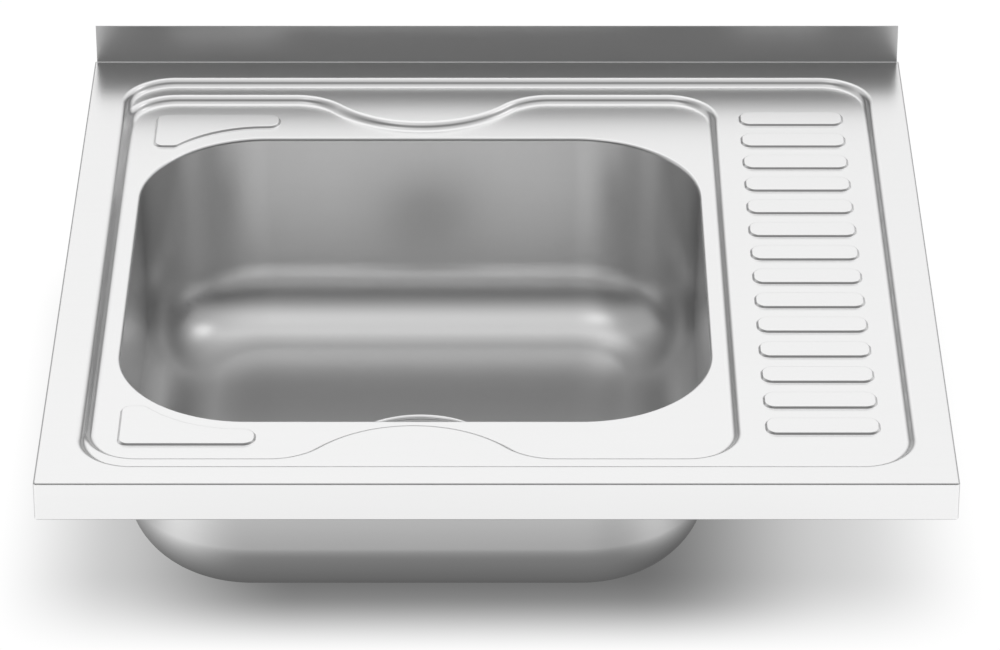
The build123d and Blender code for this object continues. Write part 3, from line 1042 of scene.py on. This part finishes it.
    def _edge(self, inset: float, back: float) -> tuple[Array, Array]:
        """Line along the sides and the front, from the left end to the right end.

        Args:
            inset: Distance inwards from the outline.
            back: Where the line ends at the back.

        Returns:
            Its plan points, and unit vectors that point outwards there.
        """
        half = self.half - inset
        radius = max(self.corner - inset, 0.0)
        spokes = Arc(0, 0, 1, 180, 90).spokes(90 / self.fold_turns)
        corners = ((radius * spokes - (half - radius), half, back), (spokes, 1, 0))
        points, outwards = (
            np.vstack(([(-x, y)], left, left[::-1] * (-1, 1), [(x, y)])) for left, x, y in corners
        )
        return points, outwards

    def _edge_profile(self, inset: float) -> list[tuple[float, float, float, float]]:
        """Section of the folded edge.

        Args:
            inset: 0 for the outer side, the sheet's thickness for the inner one.

        Returns:
            Distance from the outline, height and outer normal (out, up) of each point, from the head.
        """
        profile = []
        for bend, base, up in ((self.fold, self.rim_z, 1.0), (self.foot, 0.0, -1.0)):
            part, radius = [], bend - inset
            for cos, sin in turned(90, 0, self.fold_turns):
                part.append((bend - radius * cos, base - up * (bend - radius * sin), cos, up * sin))
            profile += part if up > 0 else part[::-1]
        return profile

    def _edges(self, shell: Shell) -> None:
        """Adds the folded sides and front with the return strip.

        Args:
            shell: The shell to add to.
        """
        sheet, reach = self.basin.sheet, self.half - self.strip_width
        points, outwards = self._edge(self.strip_width, reach)
        rows = []
        for inset, z, out, up in self._edge_profile(0.0):
            rows.append((self._edge(inset, self._root_y)[0], z, out, up))
        rows.append((points, 0.0, *rows[-1][2:]))
        shell.add(swept(outwards, rows, closed=False), sheet)
        shell.add(swept(outwards, [(points, 0.0, -1, 0), (points, sheet, -1, 0)], closed=False))
        corners = [(-reach, reach, 0), (reach, reach, 0), (reach, reach, sheet), (-reach, reach, sheet)]
        shell.add(flat(corners, (0, -1, 0)))

    def _back(self, shell: Shell) -> None:
        """Adds the wall under the splashback and the return strip's back part.

        Args:
            shell: The shell to add to.
        """
        start, sheet, reach = self._root_y, self.basin.sheet, self.half - self.strip_width
        for inset, facing in ((0.0, 1.0), (sheet, -1.0)):
            profile = self._edge_profile(inset)
            wall = self.half - inset
            for sign in (-1, 1):
                across = [(sign * (self.half - d), z) for d, z, _, _ in profile]
                lines = [np.array([(x, y, z) for x, z in across]) for y in (start, wall)]
                normals = facing * np.array([(sign * out, 0, up) for _, _, out, up in profile])
                shell.add(strip(lines, [normals] * 2, closed=False))
            right = [(self.half - d, wall, z) for d, z, _, _ in profile]
            left = [(-x, y, z) for x, y, z in right[::-1]]
            shell.add(flat(right + left, (0, facing, 0)))
            foot = self.half - self.foot
            side = [(foot, start), (foot, wall), (-foot, wall)]
            corners = [(-foot, start), (-reach, reach), (reach, reach), *side]
            shell.add(flat([(x, y, inset) for x, y in corners], (0, 0, -facing)))
        fold, wall, low = self.half - self.fold, self.half - sheet, self.rim_z - sheet
        corners = [(-fold, start, low), (fold, start, low), (fold, wall, low), (-fold, wall, low)]
        shell.add(flat(corners, (0, 0, -1)))

    def _splash(self, shell: Shell) -> None:
        """Adds the splashback with its root and its soft top.

        Args:
            shell: The shell to add to.
        """
        front, end, chords = self.half - self.splash, self.half - self.fold, self.splash_turns
        section, leans = [], []
        for cos, sin in turned(0, 90, chords):
            section.append((front - self.root * (1 - sin), self.rim_z + self.root * (1 - cos)))
            leans.append((-sin, cos))
        for middle, start in ((front + self.hem, 0), (self.half - self.hem, 90)):
            for cos, sin in turned(start, start + 90, chords):
                section.append((middle - self.hem * cos, self.splash_top - self.hem * (1 - sin)))
                leans.append((-cos, sin))
        section.append((self.half, self.rim_z))
        leans.append((1.0, 0.0))
        ends = [np.array([(sign * end, y, z) for y, z in section]) for sign in (-1, 1)]
        normals = np.array([(0, out, up) for out, up in leans])
        shell.add(strip(ends, [normals] * 2, closed=False))
        for sign, side in zip((-1, 1), ends):
            shell.add(flat(side, (sign, 0, 0)))


@dataclass(frozen=True)
class Bowl:
    """Drawn bowl with its round recess for the waste."""

    basin: Basin
    floor: float = -133.0
    floor_radius: float = 50.0
    floor_turns: int = 23  # chords from the wall to the floor
    recess: float = 57.0
    recess_step: float = 3.0  # between two points of the recess's circle
    recess_edge: float = 3.0
    recess_turns: int = 7  # chords in a quarter turn of its edges
    seat: float = -141.0
    hole: float = 45.0

    def build(self) -> bpy.types.Object:
        """Builds the bowl.

        Returns:
            The bowl's object.
        """
        shell, basin, radius = Shell(), self.basin, self.floor_radius
        outline, lean = basin.outline, math.radians(90 - basin.draft)
        centre_z = self.floor + radius
        centre = basin.wall(centre_z - radius * math.cos(lean)) - radius * math.sin(lean)
        rows = [(outline.ring(basin.wall(basin.seam)), basin.seam, -math.sin(lean), math.cos(lean))]
        for t in np.linspace(lean, 0, self.floor_turns + 1):
            ring, z = outline.ring(centre + radius * math.sin(t)), centre_z - radius * math.cos(t)
            rows.append((ring, z, -math.sin(t), math.cos(t)))
        shell.wrap(outline.outwards(), rows, basin.sheet, 0, (0, 1))

        circle = Outline((Arc(*basin.opening.middle, self.recess, 0, 360),), self.recess_step)
        edge = self.recess_edge
        plan, faces = triangulate(
            [outline.ring(centre), circle.ring(edge)], lambda x, y: circle.distance(x, y) > edge
        )
        shell.add(flat(level(plan, self.floor), (0, 0, 1), faces), basin.sheet)
        self._recess(shell, circle)
        made = shell.build("bowl_fine")
        log.info("bowl: %d faces", len(made.data.polygons))
        return made

    def _recess(self, shell: Shell, circle: Outline) -> None:
        """Adds the recess round the waste hole.

        Args:
            shell: The shell to add to.
            circle: The recess's wall.
        """
        edge, rows = self.recess_edge, []
        quarter = turned(0, 90, self.recess_turns)
        for cos, sin in quarter:
            rows.append((circle.ring(edge - edge * sin), self.floor - edge + edge * cos, -sin, cos))
        for cos, sin in quarter:
            rows.append((circle.ring(-edge + edge * cos), self.seat + edge - edge * sin, -cos, sin))
        rows.append((circle.ring(self.hole - self.recess), self.seat, *rows[-1][2:]))
        shell.wrap(circle.outwards(), rows, self.basin.sheet, -1, (-1, 0))


# --- light, floor and camera


@dataclass(frozen=True)
class Shade:
    """Soft rectangle of shade on the floor; each side says where it ends and where it is whole."""

    left: Span
    right: Span
    front: Span
    back: Span
    strength: float

    def build(self, net: Net, place: Socket) -> Socket:
        """Lays out the shade.

        Args:
            net: The floor's nodes.
            place: Socket with the place on the floor.

        Returns:
            Socket that is 1 in the shade and 0 outside it.
        """
        axes = net.node("SeparateXYZ", {0: place}).outputs
        sides = ((self.left, "X"), (self.right, "X"), (self.front, "Y"), (self.back, "Y"))
        first, *others = [net.remap(axes[axis], side, soft=True) for side, axis in sides]
        for other in others:
            first = net.calc("MULTIPLY", first, other)
        return first


@dataclass(frozen=True)
class Viewpoint:
    """Camera as solved from the photograph; lens and sensor in millimetres."""

    lens: float = 186.878
    sensor: float = 36.0
    shift_x: float = -0.00045
    reach: float = 100.0
    place: Triple = (0.002601, -3.157503, 1.790782)
    pitch: float = 60.078  # degrees up from straight down

    def build(self) -> None:
        """Places the camera."""
        data = bpy.data.cameras.new("camera")
        data.lens = self.lens
        data.sensor_width = self.sensor
        data.shift_x = self.shift_x
        data.clip_end = self.reach
        made = placed("camera", data)
        made.location = self.place
        made.rotation_euler = (math.radians(self.pitch), 0.0, 0.0)
        bpy.context.scene.camera = made


@dataclass(frozen=True)
class Studio:
    """Soft light, a pale floor and the camera of the photograph."""

    viewpoint: Viewpoint = Viewpoint()
    # Degrees from the back horizon over the top to the front one, and the sky's radiance there.
    sky: tuple[Span, ...] = (
        (0, 0.3), (10, 0.32), (24, 1.15), (30, 1.17), (72, 1.25), (82, 0.9), (90, 0.76),
        (108, 0.82), (116, 0.76), (126, 0.56), (134, 0.36), (142, 0.22), (150, 0.14), (180, 0.14),
    )
    # Rise of the radiance to the left with the direction's sideways part, and where it stops.
    tilt: float = 0.14
    tilt_end: float = 0.2
    # Share of the light left far to the sides; on each, where it is down to that and where it is whole.
    flank: float = 0.55
    reach: tuple[Span, ...] = ((-0.5, -0.3), (0.95, 0.3))
    # Direction and strength of small lamps, and the cosine at their edge.
    lamps: tuple[tuple[Triple, float], ...] = (
        ((0.705, 0.17, 0.689), 1.1), ((-0.32, -0.29, 0.902), 0.5),
    )
    lamp_edge: float = 0.98

    floor_z: float = -0.2195
    floor_size: float = 12.0
    # The floor as the camera sees it: its bare radiance, less the shades of the deck and the bowl.
    floor_tone: float = 1.02
    shades: tuple[Shade, ...] = (
        Shade((-0.373, -0.275), (0.3645, 0.24), (-0.141, -0.019), (0.48, 0.33), 0.38),
        Shade((-0.312, -0.138), (0.262, 0.095), (-0.131, -0.051), (0.34, 0.2), 0.48),
    )
    # The floor as the steel mirrors it, with painted shade: dark within the footprint's half sizes, pale
    # once the fade is over, and painted dimmer from the front to the back.
    footprint: Triple = (0.16, 0.3, 1.0)
    footprint_shift: Triple = (0.02, 0.0, 0.0)  # moves it to the left
    fade: float = 0.36
    fade_tones: Span = (0.22, 1.17)
    depth: Span = (-0.3, -0.05)
    depth_tones: Span = (1.0, 0.5)

    def build(self) -> None:
        """Sets up world, floor and camera."""
        self.viewpoint.build()
        self._world()
        self._floor()
        bpy.context.scene.view_settings.view_transform = "Standard"
        log.info("studio: floor at %.4f m", self.floor_z)

    def _world(self) -> None:
        """Lights the scene from a sky that is dark low in front and low at the back."""
        world = bpy.data.worlds.new("studio")
        bpy.context.scene.world = world
        world.use_nodes = True
        net = Net(world.node_tree)
        place = net.node("TexCoord").outputs["Generated"]
        axes = net.node("SeparateXYZ", {0: place}).outputs
        share = net.calc("DIVIDE", net.calc("ARCTAN2", axes["Z"], axes["Y"]), math.pi)
        ramp = net.node("ValToRGB", {0: share})
        stops = ramp.color_ramp.elements
        for _ in self.sky[2:]:
            stops.new(0.5)
        for stop, (angle, tone) in zip(stops, self.sky):
            stop.position = angle / 180
            stop.color = (tone, tone, tone, 1)
        aside = net.node("Clamp", {0: axes["X"], 1: -self.tilt_end, 2: self.tilt_end}).outputs[0]
        light = net.calc("MULTIPLY_ADD", aside, -self.tilt, ramp.outputs[0])
        for span in self.reach:
            light = net.calc("MULTIPLY", light, net.remap(axes["X"], span, (self.flank, 1.0)))
        for lamp, strength in self.lamps:
            near = net.vector("DOT_PRODUCT", place, lamp, out=1)
            glow = net.remap(near, (self.lamp_edge, 1.0), (0.0, strength), soft=True)
            light = net.calc("ADD", light, glow)
        net.tree.links.new(light, net.tree.nodes["Background"].inputs["Color"])

    def _floor(self) -> None:
        """Lays a pale floor that glows like a lit sweep, with the sink's soft shade on it."""
        half = self.floor_size / 2
        data = bpy.data.meshes.new("floor")
        corners = ((-half, -half), (half, -half), (half, half), (-half, half))
        data.from_pydata([(x, y, self.floor_z) for x, y in corners], [], [(0, 1, 2, 3)])
        material = bpy.data.materials.new("floor")
        material.use_nodes = True
        net = Net(material.node_tree)
        net.tree.nodes.remove(net.tree.nodes["Principled BSDF"])
        place = net.node("TexCoord").outputs["Object"]
        seen = self.floor_tone
        for shade in self.shades:
            seen = net.calc("MULTIPLY_ADD", shade.build(net, place), -shade.strength, seen)
        # Painted shade that only reflections see: the floor's glow is dark under the sink and dimmer
        # towards the back.
        away = net.vector("ABSOLUTE", net.vector("ADD", place, self.footprint_shift))
        away = net.vector("MAXIMUM", net.vector("SUBTRACT", away, self.footprint), (0.0, 0.0, 0.0))
        away = net.vector("LENGTH", away, out=1)
        mirrored = net.remap(away, (0.0, self.fade), self.fade_tones, soft=True)
        depth = net.node("SeparateXYZ", {0: place}).outputs["Y"]
        front = net.remap(depth, self.depth, self.depth_tones, soft=True)
        mirrored = net.calc("MULTIPLY", mirrored, front)
        direct = net.node("LightPath").outputs["Is Camera Ray"]
        light = net.node("Mix", {0: direct, 2: mirrored, 3: seen}, data_type="FLOAT").outputs[0]
        glow = net.node("Emission", {"Strength": light}).outputs[0]
        net.tree.links.new(glow, net.tree.nodes["Material Output"].inputs["Surface"])
        data.materials.append(material)
        placed("floor", data)


def dress_frame(materials: dict[Slot, bpy.types.Material]) -> None:
    """Gives every CAD node that stays the finish of its slot.

    Args:
        materials: Finished materials by slot.
    """
    slots = {part["node"]: part["material_slot"] for part in frame["record"]["subparts"]}
    for name, made in frame["nodes"].items():
        material = materials[Slot(slots[name])]
        if not made.material_slots:
            made.data.materials.append(material)
        for slot in made.material_slots:
            slot.material = material
    log.info("dressed %d nodes", len(frame["nodes"]))


def main() -> None:
    """Builds the whole scene in order."""
    logging.basicConfig(level=logging.INFO, format="%(name)s: %(message)s")
    Studio().build()
    effects = Effects(grain_effect(), speckle_effect(), tone_effect())
    materials = {finish.slot: finish.build(effects) for finish in FINISHES}
    dress_frame(materials)
    basin = Basin()
    pieces = ((DeckPanel(basin).build(), "deck_panel"), (Bowl(basin).build(), "bowl"))
    for piece, node in pieces:
        piece.data.materials.append(materials[Slot.STEEL_SATIN])
        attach(piece, "sink")
        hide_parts(node)


if __name__ == "__main__":
    main()
